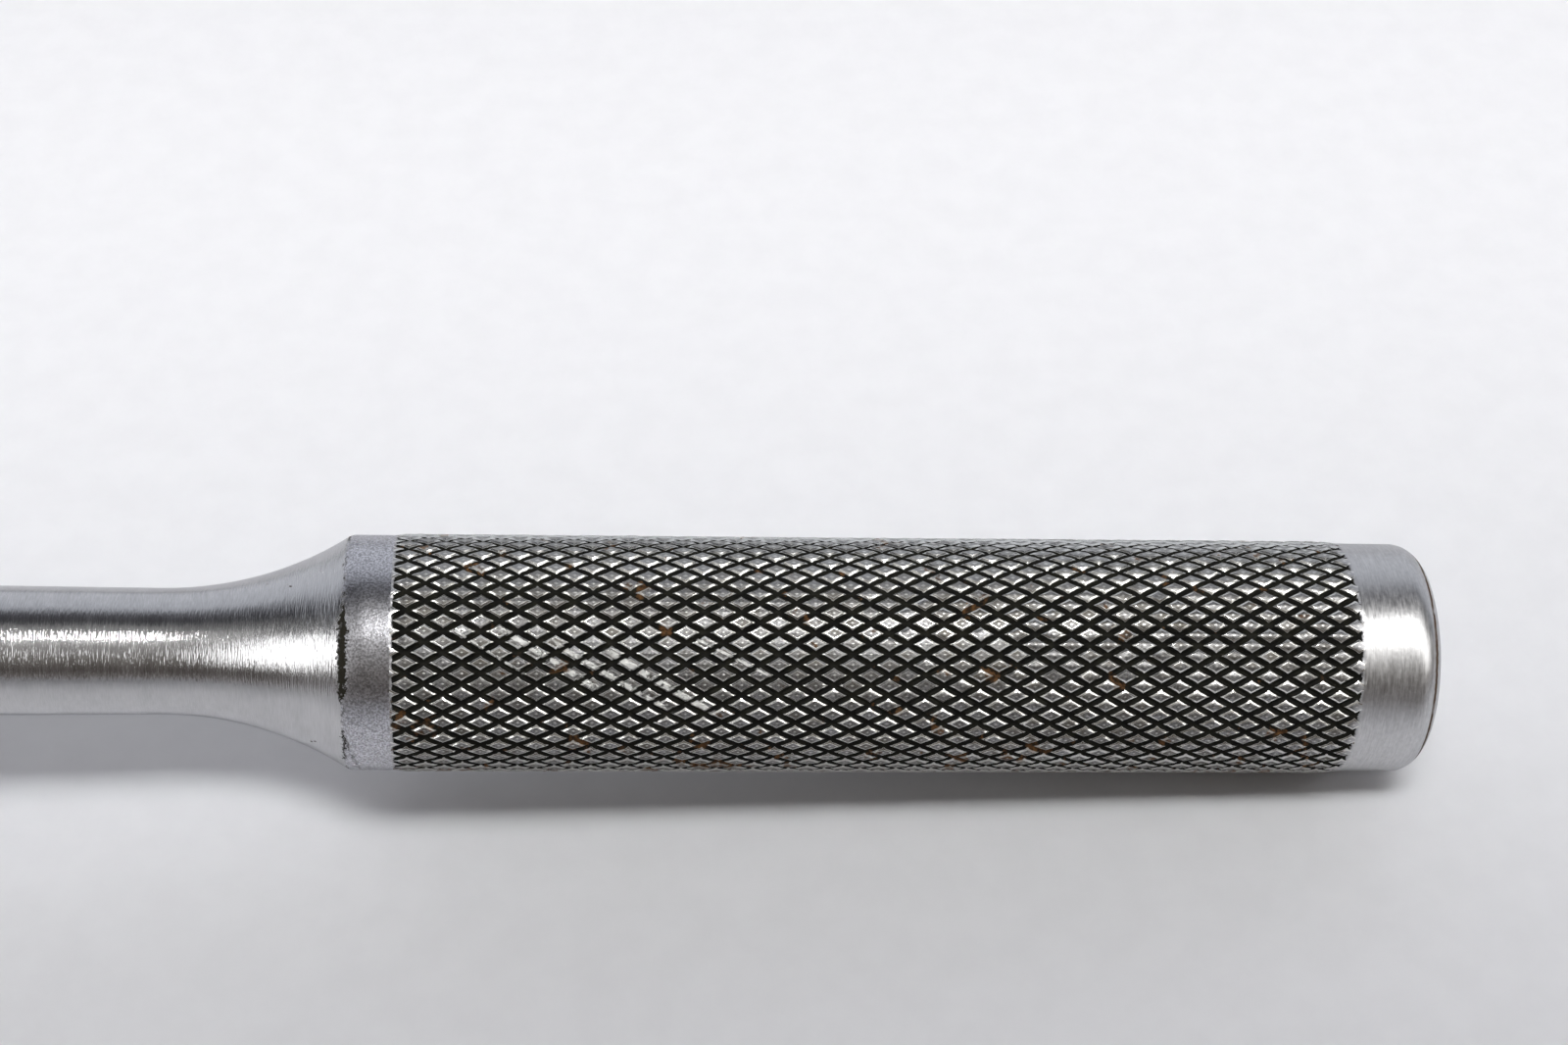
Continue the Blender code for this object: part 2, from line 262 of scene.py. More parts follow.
def fork_height(x):
    """Half the height of the fork's side outline, from its round nose to the shank."""
    slope = math.radians(fork_taper_deg)
    tangent = fork_nose * math.sin(slope)
    if x < tangent:
        return math.sqrt(max(fork_nose**2 - x**2, 0.0))
    falling = fork_nose / math.cos(slope) - x * math.tan(slope)
    blend = ease((x - tangent) / (shank_start - tangent))
    return falling + (shank_fork_radius - falling) * blend


def object_from(name, bm, place, finishes):
    """An object in the scene, made from a bmesh, with its materials in slot order."""
    bmesh.ops.recalc_face_normals(bm, faces=bm.faces)
    mesh = bpy.data.meshes.new(name)
    bm.to_mesh(mesh)
    bm.free()
    for coat in finishes:
        mesh.materials.append(coat)
    made = bpy.data.objects.new(name, mesh)
    made.matrix_world = place
    bpy.context.scene.collection.objects.link(made)
    return made


def box_mesh(low, high):
    """A box between two corners."""
    bm = bmesh.new()
    bmesh.ops.create_cube(bm, size=1.0)
    for vert in bm.verts:
        vert.co = [a if side < 0 else b for side, a, b in zip(vert.co, low, high)]
    return bm


def turned_mesh(profile, sides, axis="X"):
    """A closed solid turned from (distance, radius) points about an axis."""
    columns = {"X": (0, 1, 2), "Y": (1, 0, 2), "Z": (2, 1, 0)}[axis]
    bm = bmesh.new()
    loops = []
    for distance, radius in profile:
        loop = []
        for i in range(sides):
            angle = math.tau * i / sides
            place = (distance, radius * math.cos(angle), radius * math.sin(angle))
            loop.append(bm.verts.new([place[c] for c in columns]))
        loops.append(loop)
    for near, far in zip(loops, loops[1:]):
        skin(bm, near, far, 0)
    bm.faces.new(loops[0])
    bm.faces.new(loops[-1])
    return bm


def combine(made, changes):
    """Applies unions and cuts, given as (operation, bmesh) pairs in the object's own frame."""
    helpers = []
    for operation, bm in changes:
        helper = object_from("helper", bm, made.matrix_world, [])
        helpers.append(helper)
        step = made.modifiers.new(operation, "BOOLEAN")
        step.object, step.operation, step.solver = helper, operation, "MANIFOLD"
    settled = bpy.data.meshes.new_from_object(
        made.evaluated_get(bpy.context.evaluated_depsgraph_get())
    )
    made.modifiers.clear()
    made.data = settled
    for helper in helpers:
        bpy.data.objects.remove(helper, do_unlink=True)


def shade(made, sharp_deg=38.0):
    """Smooth faces, with the edges past an angle left sharp."""
    made.data.shade_smooth()
    made.data.set_sharp_from_angle(angle=math.radians(sharp_deg))


class Wire:
    """A value inside a node tree. Arithmetic on it adds Math nodes."""

    def __init__(self, tree, socket=None):
        self.tree, self.socket = tree, socket

    def node(self, kind, settings=None, values=None, output=0):
        made = self.tree.nodes.new("ShaderNode" + kind)
        for name, setting in (settings or {}).items():
            if name == "stops":
                ramp = made.color_ramp.elements
                while len(ramp) < len(setting):
                    ramp.new(1.0)
                for stop, (position, colour) in zip(ramp, setting):
                    stop.position, stop.color = position, (*colour, 1.0)
            else:
                setattr(made, name, setting)
        for name, value in (values or {}).items():
            if isinstance(value, Wire):
                self.tree.links.new(value.socket, made.inputs[name])
            elif isinstance(value, tuple) and len(value) == 3:
                room = len(made.inputs[name].default_value)
                made.inputs[name].default_value = (*value, 1.0)[:room]
            else:
                made.inputs[name].default_value = value
        return Wire(self.tree, made.outputs[output])

    def maths(self, operation, *others):
        values = dict(enumerate((self, *others)))
        return self.node("Math", {"operation": operation}, values)

    def __add__(self, other):
        return self.maths("ADD", other)

    def __sub__(self, other):
        return self.maths("SUBTRACT", other)

    def __mul__(self, other):
        return self.maths("MULTIPLY", other)

    def __truediv__(self, other):
        return self.maths("DIVIDE", other)

    def __rsub__(self, other):
        return self.node("Math", {"operation": "SUBTRACT"}, {0: other, 1: self})

    __radd__ = __add__
    __rmul__ = __mul__

    def step(self, low, high):
        """0 below low, 1 above high, smooth between."""
        return self.node(
            "MapRange",
            {"interpolation_type": "SMOOTHSTEP"},
            {"Value": self, "From Min": low, "From Max": high},
        )

    def mix(self, low, high):
        """A colour between two others."""
        values = {"Factor": self, 6: low, 7: high}
        return self.node("Mix", {"data_type": "RGBA"}, values, output=2)


def finish(name):
    """A new material: its tree, its shader and the coordinates of its own object."""
    made = bpy.data.materials.new(name)
    made.use_nodes = True
    tree = made.node_tree
    shader = tree.nodes["Principled BSDF"]
    shader.inputs["Metallic"].default_value = 1.0
    shader.inputs["Specular Tint"].default_value = (0.65, 0.65, 0.66, 1.0)
    shader.inputs["Specular IOR Level"].default_value = 0.2
    here = Wire(tree).node("TexCoord", output=3)
    return made, shader, here


def feed(shader, **values):
    """Links or sets the shader's sockets. Underscores in the names stand for spaces."""
    for name, value in values.items():
        socket = shader.inputs[name.replace("_", " ")]
        if isinstance(value, Wire):
            value.tree.links.new(value.socket, socket)
        elif isinstance(value, tuple):
            socket.default_value = (*value, 1.0)
        else:
            socket.default_value = value


def speckle(here, scale, detail=2.0, stretch=(1.0, 1.0, 1.0), rough=0.55):
    """Noise in the object's own metres; scale is in lumps per metre."""
    placed = here.node("VectorMath", {"operation": "MULTIPLY"}, {0: here, 1: stretch})
    values = {"Vector": placed, "Scale": scale, "Detail": detail, "Roughness": rough}
    return here.node("TexNoise", values=values)


def bump(height, distance, strength):
    values = {"Height": height, "Distance": distance, "Strength": strength}
    return height.node("Bump", values=values)


def along_and_round(here):
    """Distance along the bar, angle round it and height over its axis, in metres and radians."""
    x, y, z = (here.node("SeparateXYZ", values={0: here}, output=i) for i in range(3))
    return x, z.maths("ARCTAN2", y), z


def round_noise(here, along, angle, per_metre, per_turn, detail=2.0):
    """Noise drawn out round the bar, as grinding leaves it."""
    cosine, sine = angle.maths("COSINE"), angle.maths("SINE")
    loop = here.node(
        "CombineXYZ",
        values={0: along * per_metre, 1: cosine * per_turn, 2: sine * per_turn},
    )
    return here.node("TexNoise", values={"Vector": loop, "Scale": 1.0, "Detail": detail})


def ground_chrome():
    """Belt-ground steel under satin plate: fine rings round the bar, and small dark pits."""
    made, shader, here = finish("ground_shank_chrome")
    along, angle, height_z = along_and_round(here)
    grime = seam_grime(here, along, angle, height_z)
    rings = round_noise(here, along, angle, 9000.0, 6.0)
    broad = round_noise(here, along, angle, 700.0, 2.0)
    mottle = speckle(here, 260.0, 3.0)
    pits = speckle(here, 1500.0, 1.0).step(0.76, 0.80) * speckle(here, 150.0).step(0.5, 0.62)
    tone = (rings * 0.5 + broad * 0.3 + mottle * 0.2).step(0.25, 0.75)
    colour = tone.mix((0.50, 0.50, 0.51), (0.66, 0.66, 0.67))
    colour = pits.mix(colour, (0.05, 0.04, 0.03))
    colour = grime.mix(colour, grime_black)
    height = rings + broad * 0.1 - pits * 0.3
    feed(
        shader,
        Base_Color=colour,
        Roughness=0.15 + tone * 0.08 + pits * 0.3 + grime * 0.3,
        Metallic=1.0 - pits.maths("MAXIMUM", grime) * 0.95,
        Normal=bump(height, 0.055 * mm, 0.8),
    )
    return made


def seam_grime(here, along, angle, height_z):
    """Grime in the ground edge of the flare, and on the slanting edge of the grinding."""
    ragged = speckle(here, 2800.0, 3.0, rough=0.7) - 0.5
    blots = speckle(here, 520.0, 3.0).step(0.36, 0.60)
    facing = (angle - seam_dark_side).maths("COSINE").step(0.90, 0.985)
    half_width = (facing * 0.42 + 0.17) * mm
    past = (along - seam - 0.1 * mm + ragged * 1.5 * mm).maths("ABSOLUTE")
    line = 1.0 - (past / half_width).step(0.5, 1.0)
    line = line * (facing * 0.8 + blots * 0.8).step(0.30, 0.85)
    lower = (0.25 - height_z / grip_radius).step(0.0, 1.0)
    slant = (0.25 + lower * 1.35) * mm
    past_slant = (along - seam - slant + ragged * 0.8 * mm).maths("ABSOLUTE")
    second = (1.0 - past_slant.step(0.03 * mm, 0.20 * mm)) * 0.8
    second = second * blots * lower.step(0.02, 0.2)
    return line.maths("MAXIMUM", second)


def blasted_neck():
    """The neck keeps its blasted skin under the plate, with sparkling grains."""
    made, shader, here = finish("blasted_neck_chrome")
    along, angle, height_z = along_and_round(here)
    grains = speckle(here, 5200.0, 1.0)
    coarse = speckle(here, 1500.0, 2.0)
    grime = seam_grime(here, along, angle, height_z)
    colour = grains.step(0.3, 0.7).mix((0.34, 0.34, 0.36), (0.72, 0.72, 0.77))
    colour = grime.mix(colour, grime_black)
    feed(
        shader,
        Base_Color=colour,
        Roughness=0.24 + coarse * 0.08 + grime * 0.4,
        Metallic=1.0 - grime * 0.95,
        Normal=bump(grains + coarse * 0.3, 0.03 * mm, 0.4),
    )
    return made


def knurled_chrome():
    """Rolled chrome diamonds with black grime in the grooves, burred lips and rust specks,
    with painted shade underneath and a painted reflection lightening the upper side.
    """
    made, shader, here = finish("knurled_grip_chrome")
    along, angle, height_z = along_and_round(here)

    # Where each point lies between the grooves of either hand: 0 in a groove, 0.5 midway.
    lengthways = (along - knurl_origin) / pitch_along
    roundways = angle * (knurl_starts / math.tau)
    place_a = (lengthways + roundways).maths("FRACT")
    place_b = (lengthways - roundways).maths("FRACT")
    edge_a = 0.5 - (place_a - 0.5).maths("ABSOLUTE")
    edge_b = 0.5 - (place_b - 0.5).maths("ABSOLUTE")
    edge = edge_a.maths("MINIMUM", edge_b)
    tip = 1.0 - edge_a.maths("MAXIMUM", edge_b).step(0.12, 0.34)
    ragged = speckle(here, 2600.0, 3.0) - 0.5
    upper_side_sheen = angle.maths("COSINE").step(-0.35, 0.15)
    worn_edge = edge + ragged * 0.06 + tip * 0.03 + upper_side_sheen * 0.03
    from_ends = (along - knurl_start).maths("MINIMUM", knurl_end - along) + ragged * 0.5 * mm
    groove = (1.0 - worn_edge.step(0.165, 0.195)) * from_ends.step(0.08 * mm, 0.28 * mm)
    wall = worn_edge.step(0.17, 0.20) * (1.0 - worn_edge.step(0.26, 0.30))
    hollow = 1.0 - along.step(full_from, full_at)
    floor_of_hollow = edge.step(0.27, 0.33) * hollow
    pip = worn_edge.step(0.435, 0.475)

    # The plate: greasy in blotches on the diamonds, bright on their walls and pips. Painted shade
    # # darkens the underside with a brown film and dims its walls there; a painted reflection
    # lightens the upper side.
    grains = speckle(here, 4200.0, 2.0)
    blotch = speckle(here, 330.0, 3.0)
    # Painted shade: the lower half of the grip gets a darker brown film, and its bright walls are
    # dimmed.
    underside_shade = (0.05 - height_z / grip_radius).step(0.0, 0.55)
    grease_and_under_shade = blotch.step(0.36, 0.70) * (1.0 - wall) * (1.0 - pip * 0.6)
    grease_and_under_shade = grease_and_under_shade.maths("MAXIMUM", underside_shade * 0.75)
    bright_walls_shaded_under = wall.maths("MAXIMUM", pip * 0.7) * (1.0 - underside_shade * 0.7)
    plate = grains.step(0.3, 0.7).mix((0.15, 0.15, 0.15), (0.37, 0.37, 0.38))
    plate = (grease_and_under_shade * 0.75).mix(plate, (0.125, 0.112, 0.09))
    # Painted reflection: the upper side is lightened, standing in for the bright paper behind that
    # it mirrors.
    plate = (upper_side_sheen * 0.45).mix(plate, (0.66, 0.66, 0.66))
    plate = from_ends.step(0.1 * mm, 1.2 * mm).mix((0.52, 0.52, 0.54), plate)
    plate = bright_walls_shaded_under.mix(plate, (0.80, 0.80, 0.77))

    # The scrapes run over the diamonds and leave pale metal, and one diamond is worn flat.
    across = angle * grip_radius
    scrape = 0.0
    for start, drop, slant, half_width, reach in scrapes:
        off_line = across - drop - (along - start) * slant + ragged * 0.25 * mm
        stroke = 1.0 - off_line.maths("ABSOLUTE").step(half_width * 0.5, half_width)
        run = 1.0 - (along - start).maths("ABSOLUTE").step(reach * 0.7, reach)
        scrape = stroke * run + scrape
    scrape = scrape * speckle(here, 1500.0, 2.0).step(0.34, 0.50) * worn_edge.step(0.07, 0.13)
    plate = scrape.mix(plate, (0.86, 0.86, 0.83))
    beside = ((along - worn_along) / worn_half_length).maths("ABSOLUTE")
    around = ((across - worn_round) / worn_half_height).maths("ABSOLUTE")
    worn_flat = 1.0 - (beside + around).step(0.75, 1.05)
    plate = worn_flat.mix(plate, (0.99, 0.99, 0.98))

    # Grime fills the grooves, and rust has started mostly on the underside.
    below = (0.0 - height_z / grip_radius).step(-0.75, 0.6)
    rust_field = speckle(here, 430.0, 4.0) + below * 0.075
    rust = rust_field.step(0.648, 0.69) * (1.0 - wall * 0.4) * (1.0 - pip * 0.5)
    rust_tone = speckle(here, 2400.0, 2.0).step(0.3, 0.7)
    rust_colour = rust_tone.mix((0.030, 0.018, 0.009), (0.16, 0.075, 0.025))
    olive = speckle(here, 900.0, 2.0).step(0.3, 0.8)
    grime_colour = olive.mix((0.004, 0.004, 0.003), (0.014, 0.0135, 0.008))
    groove = groove * (1.0 - scrape * 0.85)
    soiled = groove.maths("MAXIMUM", rust)
    colour = (rust * 0.85).mix(groove.mix(plate, grime_colour), rust_colour)

    polish = wall * 0.20 + scrape * 0.10 + pip * 0.14 + worn_flat * 0.16
    relief = (edge * 0.20 - 0.030) * floor_of_hollow + pip * hollow * 0.028
    texture = grains * 0.012 + blotch * 0.006 + scrape * 0.14
    feed(
        shader,
        Base_Color=colour,
        Roughness=0.44 + grease_and_under_shade * 0.10 + soiled * 0.25 - polish,
        Metallic=1.0 - soiled * 0.95 - scrape * 0.9 * (1.0 - soiled),
        Normal=bump((relief + texture) * mm, 1.0, 0.8),
    )
    return made


def end_chrome():
    """The end band is ground bright, with a line of old grime at the turned corner."""
    made, shader, here = finish("ground_end_chrome")
    along, angle, height_z = along_and_round(here)
    rings = round_noise(here, along, angle, 6500.0, 6.0, 3.0)
    short = round_noise(here, along, angle, 3500.0, 22.0)
    ragged = speckle(here, 1300.0, 2.0) - 0.5
    corner = bar_length - 0.34 * end_rounding
    off = (along - corner + ragged * 0.18 * mm).maths("ABSOLUTE")
    line = (1.0 - off.step(0.07 * mm, 0.24 * mm)) * speckle(here, 300.0, 2.0).step(0.25, 0.45)
    tone = (rings * 0.6 + short * 0.4).step(0.25, 0.75)
    colour = line.mix(tone.mix((0.50, 0.50, 0.51), (0.68, 0.68, 0.69)), (0.09, 0.05, 0.025))
    feed(
        shader,
        Base_Color=colour,
        Roughness=tone * 0.12 + 0.27 + line * 0.3,
        Metallic=1.0 - line * 0.8,
        Normal=bump(rings * 0.6 + short * 0.5, 0.02 * mm, 0.6),
    )
    return made


bar_mesh = bmesh.new()
rim_near, rim_far = knurl_lattice(bar_mesh)

# The stations from the fork's nose to the flare: place, half width, half height, squareness.
flare_rise = flare_lip - shank_grip_radius
flare_turn = math.acos(1.0 - flare_rise / flare_arc)
flare_root = seam - flare_arc * math.sin(flare_turn)
flare_centre = (flare_root, shank_grip_radius + flare_arc)
stations = []
nose_steps = 14
nose_from_deg = 3.0  # leaves a small flat at the very tip
for i in range(nose_steps):
    turned = nose_from_deg + (90.0 - nose_from_deg) * i / nose_steps
    x = -fork_nose * math.cos(math.radians(turned))
    stations.append((x, fork_half_width, fork_height(x), fork_squareness))
fork_steps = 16
for i in range(fork_steps):
    x = shank_start * i / fork_steps
    blend = ease((x - fork_blend_start) / (shank_start - fork_blend_start))
    half_y = fork_half_width + (shank_fork_radius - fork_half_width) * blend
    power = fork_squareness + (2.0 - fork_squareness) * blend
    stations.append((x, half_y, fork_height(x), power))
shank_steps = 10
for i in range(shank_steps):
    share = i / shank_steps
    x = shank_start + (flare_root - shank_start) * share
    radius = shank_fork_radius + (shank_grip_radius - shank_fork_radius) * share
    stations.append((x, radius, radius, 2.0))
for x, radius in arc_points(flare_centre, flare_arc, -90.0, math.degrees(flare_turn) - 90.0, 20):
    stations.append((x, radius, radius, 2.0))
loops = [ring(bar_mesh, *station) for station in stations]
for near, far in zip(loops, loops[1:]):
    skin(bar_mesh, near, far, 0)
bar_mesh.faces.new(loops[0])

neck_places = (seam + seam_bevel, seam + neck_length * 0.5, knurl_start - 0.25 * mm)
neck = [ring(bar_mesh, x, neck_radius, neck_radius) for x in neck_places]
for near, far in zip([loops[-1], *neck], neck):
    skin(bar_mesh, near, far, 2)
zip_loops(bar_mesh, neck[-1], rim_near, 2)

corner = (bar_length - end_rounding, band_radius - end_rounding)
end_profile = [(knurl_end + 0.3 * mm, band_radius), (bar_length - 1.3 * end_rounding, band_radius)]
end_profile += arc_points(corner, end_rounding, 90.0, 0.0, 14)
end_loops = [ring(bar_mesh, x, radius, radius) for x, radius in end_profile]
zip_loops(bar_mesh, rim_far, end_loops[0], 3)
for near, far in zip(end_loops, end_loops[1:]):
    skin(bar_mesh, near, far, 3)
bar_mesh.faces.new(end_loops[-1]).material_index = 3

bar_finishes = [ground_chrome(), knurled_chrome(), blasted_neck(), end_chrome()]
bar = object_from("forged_bar", bar_mesh, bar_place, bar_finishes)

# The cutters: the slot, the pin's bore with its chamfered mouths, and the bores for the lock
# screw and the friction ball.
slot_corner = (slot_floor, slot_half_width, beyond)
slot_cutter = box_mesh((-beyond, -slot_half_width, -beyond), slot_corner)
pin_cutter = turned_mesh(
    [
        (-fork_half_width + pin_mouth - beyond, pin_bore + beyond),
        (-fork_half_width + pin_mouth, pin_bore),
        (fork_half_width - pin_mouth, pin_bore),
        (fork_half_width - pin_mouth + beyond, pin_bore + beyond),
    ],
    bore_sides,
    "Y",
)
screw_cutter = turned_mesh(
    [(screw_bore_low, screw_bore_radius), (beyond, screw_bore_radius)], 32, "Z"
)
bmesh.ops.translate(screw_cutter, verts=screw_cutter.verts, vec=(0.0, screw_y, 0.0))
ball_cutter = turned_mesh(
    [(0.0, friction_bore_radius), (friction_bore_end, friction_bore_radius)], bore_sides, "X"
)
cutters = (slot_cutter, pin_cutter, screw_cutter, ball_cutter)
combine(bar, [("DIFFERENCE", cutter) for cutter in cutters])
shade(bar)
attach(bar, "handle")
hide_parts("handle_bar")

# ---------------------------------------------------------------------------------------
# The drive head: one forging of the bar's steel, with a tongue between the fork's ears, a
# turned collar and the half-inch square. It is milled and plated satin. Its places are
# given round the pivot, with the square pointing down.
tongue_radius = 12.0 * mm
tongue_half_width = 6.0 * mm
tongue_rounding = 0.6 * mm
tongue_foot = 9.8 * mm  # half its breadth where it runs into the collar
collar_top = 13.6 * mm
collar_end = 19.6 * mm
collar_radius = 12.5 * mm
collar_rounding = 0.9 * mm
square_half = 6.325 * mm
square_corner = 1.1 * mm
square_chamfer = 1.0 * mm
head_reach = 36.0 * mm
drive_ball_height = 8.0 * mm
drive_bore = 2.5 * mm
drive_bore_end = 4.5 * mm
staked_mouth = 2.22 * mm
staked_depth = 0.4 * mm
join = 1.5 * mm  # how far the joined shapes run into one another


def tongue_mesh():
    """The tongue's round outline, carried across its width and rounded off at both faces."""
    foot = -collar_top - join
    reach = math.hypot(tongue_foot, foot)
    start = math.degrees(math.atan2(foot, tongue_foot) + math.acos(tongue_radius / reach))
    outline = [(tongue_foot, foot)]
    outline += arc_points((0.0, 0.0), tongue_radius, start, 180.0 - start, 64)
    outline += [(-tongue_foot, foot)]
    sections = [(tongue_half_width, tongue_rounding)]
    for angle in (22.5, 45.0, 67.5, 90.0):
        fall = tongue_rounding * (1.0 - math.cos(math.radians(angle)))
        inset = tongue_rounding * (1.0 - math.sin(math.radians(angle)))
        sections.append((tongue_half_width - fall, inset))
    sections += [(-y, inset) for y, inset in reversed(sections)]
    bm = bmesh.new()
    loops = []
    for y, inset in sections:
        kept = 1.0 - inset / tongue_radius
        loops.append([bm.verts.new((x * kept, y, z * kept)) for x, z in outline])
    for near, far in zip(loops, loops[1:]):
        skin(bm, near, far, 0)
    bm.faces.new(loops[0])
    bm.faces.new(loops[-1])
    return bm


def square_mesh():
    """The drive square, with rounded corners and a chamfered tip."""
    bm = bmesh.new()
    loops = []
    stations = [
        (join - collar_end, 0.0),
        (square_chamfer - head_reach, 0.0),
        (square_chamfer * 0.85 - head_reach, 0.05 * square_chamfer),
        (0.12 * square_chamfer - head_reach, 0.82 * square_chamfer),
        (-head_reach, square_chamfer),
    ]
    for z, inset in stations:
        centre = square_half - square_corner
        loop = []
        for quarter in range(4):
            turn = 90.0 * quarter
            corner_x = centre * (1.0 if quarter in (0, 3) else -1.0)
            corner_y = centre * (1.0 if quarter in (0, 1) else -1.0)
            for x, y in arc_points((corner_x, corner_y), square_corner, turn, turn + 90.0, 6):
                kept = 1.0 - inset / square_half
                loop.append(bm.verts.new((x * kept, y * kept, z)))
        loops.append(loop)
    for near, far in zip(loops, loops[1:]):
        skin(bm, near, far, 0)
    bm.faces.new(loops[0])
    bm.faces.new(loops[-1])
    return bm


def machined_chrome():
    """Milled steel under satin plate: fine straight tool marks, soft wear and grime in corners."""
    made, shader, here = finish("machined_head_chrome")
    height_z = here.node("SeparateXYZ", values={0: here}, output=2)
    marks = speckle(here, 2600.0, 3.0, (1.0, 1.0, 0.06))
    cross = speckle(here, 3200.0, 2.0, (0.08, 1.0, 1.0))
    grains = speckle(here, 4200.0, 2.0)
    blotch = speckle(here, 190.0, 3.0)
    scuffs = speckle(here, 1200.0, 2.0, (1.0, 0.15, 0.6)).step(0.66, 0.74)
    lower_corner = (height_z + (collar_end + 0.1 * mm)).maths("ABSOLUTE")
    upper_corner = (height_z + (collar_top - 0.1 * mm)).maths("ABSOLUTE")
    ragged = (grains - 0.5) * 0.5 * mm
    nearest = lower_corner.maths("MINIMUM", upper_corner) + ragged
    grime = (1.0 - nearest.step(0.05 * mm, 0.55 * mm)) * blotch.step(0.30, 0.55)
    tone = (marks * 0.5 + cross * 0.2 + blotch * 0.3).step(0.3, 0.7)
    colour = tone.mix((0.44, 0.44, 0.45), (0.64, 0.64, 0.66))
    colour = (scuffs * 0.5).mix(colour, (0.80, 0.80, 0.79))
    colour = (grime * 0.9).mix(colour, (0.030, 0.026, 0.018))
    feed(
        shader,
        Base_Color=colour,
        Roughness=0.20 + tone * 0.10 + scuffs * 0.12 + grime * 0.35,
        Metallic=1.0 - grime * 0.85,
        Normal=bump(marks * 0.6 + cross * 0.3 + grains * 0.3, 0.02 * mm, 0.6),
    )
    return made


head_place = Matrix.Translation(pivot)
head = object_from("drive_head_forging", tongue_mesh(), head_place, [machined_chrome()])
collar_corner = collar_radius - collar_rounding
collar_face = collar_corner - 1.2 * mm
lower_centre = (-collar_end + collar_rounding, collar_corner)
upper_centre = (-collar_top - collar_rounding, collar_corner)
collar = [(-collar_end, collar_face)]
collar += arc_points(lower_centre, collar_rounding, 180.0, 90.0, 6)
collar += arc_points(upper_centre, collar_rounding, 90.0, 0.0, 6)
collar += [(-collar_top, collar_face)]
ball_bore = turned_mesh(
    [
        (-2.0 * square_half, staked_mouth),
        (-square_half - 0.02 * mm, staked_mouth),
        (-square_half + staked_depth, staked_mouth),
        (-square_half + staked_depth + 0.3 * mm, drive_bore),
        (drive_bore_end, drive_bore),
    ],
    48,
    "X",
)
ball_height = drive_ball_height - head_reach
bmesh.ops.translate(ball_bore, verts=ball_bore.verts, vec=(0.0, 0.0, ball_height))
combine(
    head,
    [
        ("UNION", turned_mesh(collar, 96, "Z")),
        ("UNION", square_mesh()),
        ("DIFFERENCE", turned_mesh([(-beyond, pin_bore), (beyond, pin_bore)], bore_sides, "Y")),
        ("DIFFERENCE", ball_bore),
    ],
)
shade(head, 30.0)
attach(head, "head")
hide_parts("drive_head")

# ---------------------------------------------------------------------------------------
# The pivot pin: hardened round steel, ground and oiled, pushed through both ears and the
# tongue. Both its ends are chamfered and a little dished.
pin_radius = 4.0 * mm
pin_half_length = 11.8 * mm
pin_chamfer = 0.4 * mm
pin_dish = 0.15 * mm


def ground_steel(name, dark, light, gloss, axis):
    """Bare ground steel with an oily film: rings round its axis and a few brown stains."""
    made, shader, here = finish(name)
    stretch = {"X": (1.0, 0.08, 0.08), "Y": (0.08, 1.0, 0.08), "Z": (0.08, 0.08, 1.0)}[axis]
    rings = speckle(here, 7000.0, 2.0, stretch)
    grains = speckle(here, 5000.0, 2.0)
    stain = speckle(here, 520.0, 3.0).step(0.56, 0.72)
    tone = (rings * 0.6 + grains * 0.4).step(0.3, 0.7)
    colour = (stain * 0.65).mix(tone.mix(dark, light), (0.13, 0.085, 0.05))
    feed(
        shader,
        Base_Color=colour,
        Roughness=tone * 0.12 + gloss + stain * 0.22,
        Metallic=1.0 - stain * 0.45,
        Normal=bump(rings * 0.6 + grains * 0.4, 0.012 * mm, 0.5),
    )
    return made


pin_profile = [
    (-pin_half_length + pin_dish, 0.6 * mm),
    (-pin_half_length + pin_dish * 0.8, pin_radius - 1.3 * mm),
    (-pin_half_length, pin_radius - pin_chamfer - 0.25 * mm),
    (-pin_half_length, pin_radius - pin_chamfer),
    (-pin_half_length + pin_chamfer * 0.5, pin_radius - pin_chamfer * 0.35),
    (-pin_half_length + pin_chamfer, pin_radius),
]
pin_profile += [(-distance, radius) for distance, radius in reversed(pin_profile)]
pin_steel = ground_steel("ground_pin_steel", (0.34, 0.34, 0.35), (0.54, 0.54, 0.55), 0.22, "Y")
pin = object_from("ground_pivot_pin", turned_mesh(pin_profile, 64, "Y"), bar_place, [pin_steel])
shade(pin, 30.0)
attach(pin, "handle")
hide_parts("pivot_pin")

# ---------------------------------------------------------------------------------------
# The lock screw: a black-oxide grub screw with a cone point and a sawn slot, turned into
# one ear from above until its point bears on the pin.
screw_radius = 1.5 * mm
screw_low = 4.3 * mm
screw_high = 10.1 * mm
screw_cone = 1.0 * mm
thread_pitch = 0.5 * mm
thread_depth = 0.16 * mm
slot_width = 0.6 * mm
slot_depth = 0.9 * mm


def oxide_steel():
    """Black oxide that has worn to bare steel on the high spots."""
    made, shader, here = finish("black_oxide_screw")
    grains = speckle(here, 5200.0, 3.0)
    worn = speckle(here, 900.0, 3.0).step(0.50, 0.66)
    colour = grains.step(0.3, 0.7).mix((0.03, 0.03, 0.033), (0.09, 0.09, 0.095))
    colour = (worn * 0.8).mix(colour, (0.38, 0.37, 0.36))
    feed(
        shader,
        Base_Color=colour,
        Roughness=0.44 - worn * 0.16,
        Metallic=0.8 + worn * 0.2,
        Normal=bump(grains + worn * 0.5, 0.015 * mm, 0.6),
    )
    return made


